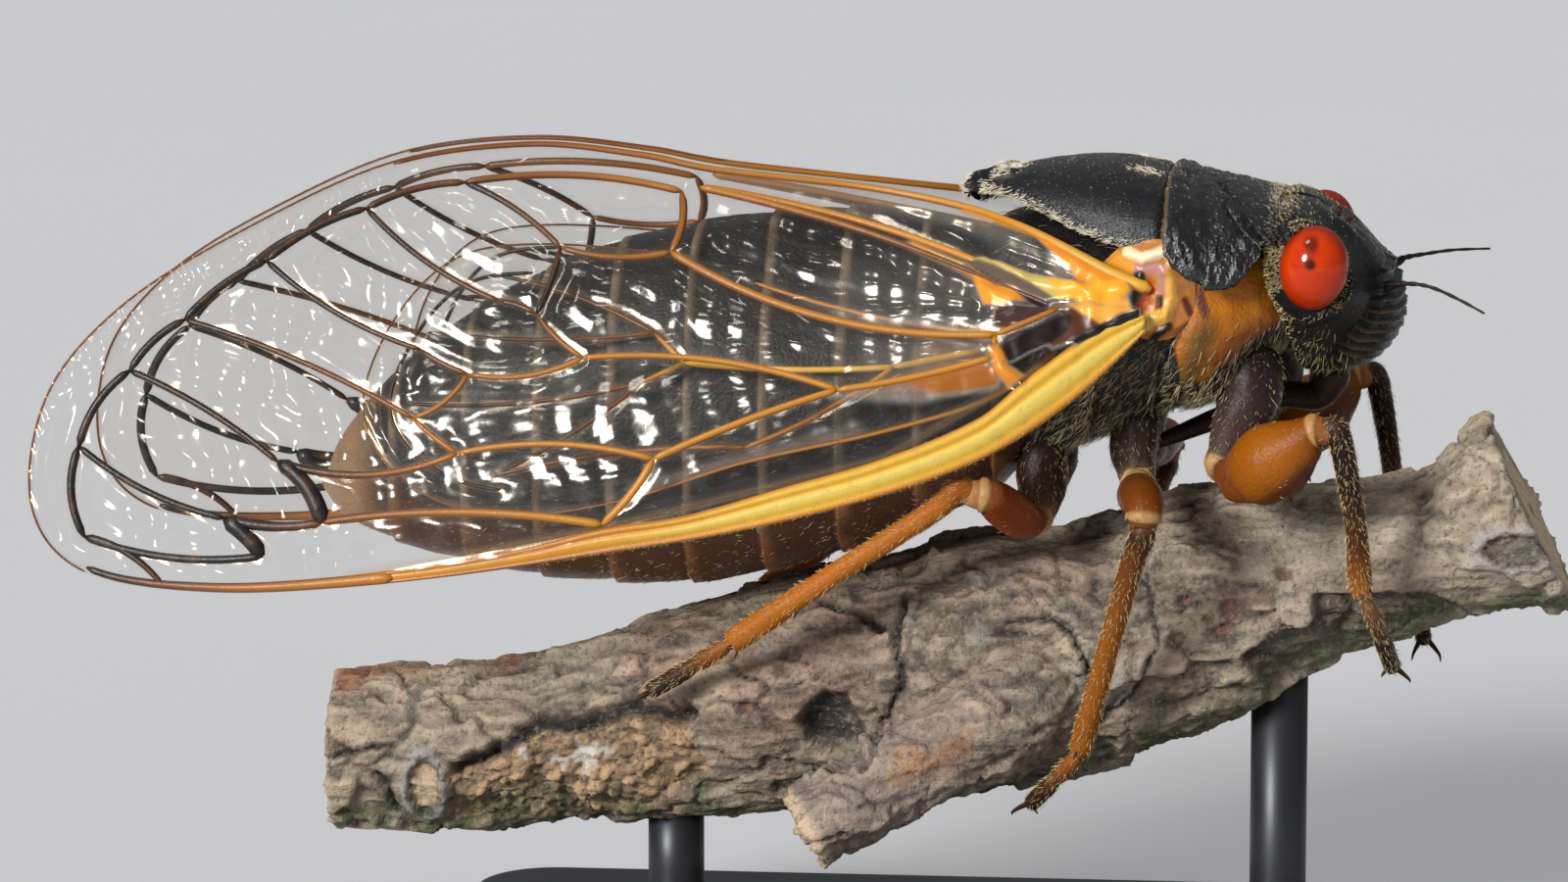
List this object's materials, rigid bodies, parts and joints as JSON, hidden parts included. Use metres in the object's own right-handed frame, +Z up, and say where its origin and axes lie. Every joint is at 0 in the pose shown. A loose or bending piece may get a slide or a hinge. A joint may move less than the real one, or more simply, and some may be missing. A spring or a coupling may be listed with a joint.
{
  "type": "periodical cicada display model",
  "caption": "Still, life-size periodical cicada with folded roof-like wings, gripping a short cut twig on a plain flat base with two rods.",
  "frame": {"origin": "centre of the display base's underside", "axes": "+X towards the insect's head, +Y towards the insect's left side, +Z up"},
  "size_m": [0.0431, 0.018, 0.0251],
  "materials": {
    "shell_black": "glossy black cuticle with fine pale hairs",
    "shell_amber": "satin amber-brown cuticle, darker at the joints",
    "eye_red": "polished orange-red",
    "wing_clear": "clear glossy membrane with orange veins",
    "twig_bark": "rough grey-brown bark",
    "stand_metal": "satin dark grey"
  },
  "bodies": {
    "root": {"abdomen": "shell_black", "antenna_left": "shell_black", "antenna_right": "shell_black", "eye_left": "eye_red", "eye_right": "eye_red", "forewing_left": "wing_clear", "forewing_right": "wing_clear", "head": "shell_black", "hindwing_left": "wing_clear", "hindwing_right": "wing_clear", "leg_fore_left_coxa": "shell_black", "leg_fore_left_femur": "shell_amber", "leg_fore_left_tarsus": "shell_black", "leg_fore_left_tibia": "shell_amber", "leg_fore_right_coxa": "shell_black", "leg_fore_right_femur": "shell_amber", "leg_fore_right_tarsus": "shell_black", "leg_fore_right_tibia": "shell_amber", "leg_hind_left_coxa": "shell_black", "leg_hind_left_femur": "shell_amber", "leg_hind_left_tarsus": "shell_black", "leg_hind_left_tibia": "shell_amber", "leg_hind_right_coxa": "shell_black", "leg_hind_right_femur": "shell_amber", "leg_hind_right_tarsus": "shell_black", "leg_hind_right_tibia": "shell_amber", "leg_mid_left_coxa": "shell_black", "leg_mid_left_femur": "shell_amber", "leg_mid_left_tarsus": "shell_black", "leg_mid_left_tibia": "shell_amber", "leg_mid_right_coxa": "shell_black", "leg_mid_right_femur": "shell_amber", "leg_mid_right_tarsus": "shell_black", "leg_mid_right_tibia": "shell_amber", "mesonotum": "shell_black", "perch": "twig_bark", "pronotum": "shell_black", "prothorax": "shell_black", "rostrum": "shell_black", "stand_base": "stand_metal", "stand_rod_front": "stand_metal", "stand_rod_rear": "stand_metal", "thorax": "shell_black"}
  },
  "joints": []
}
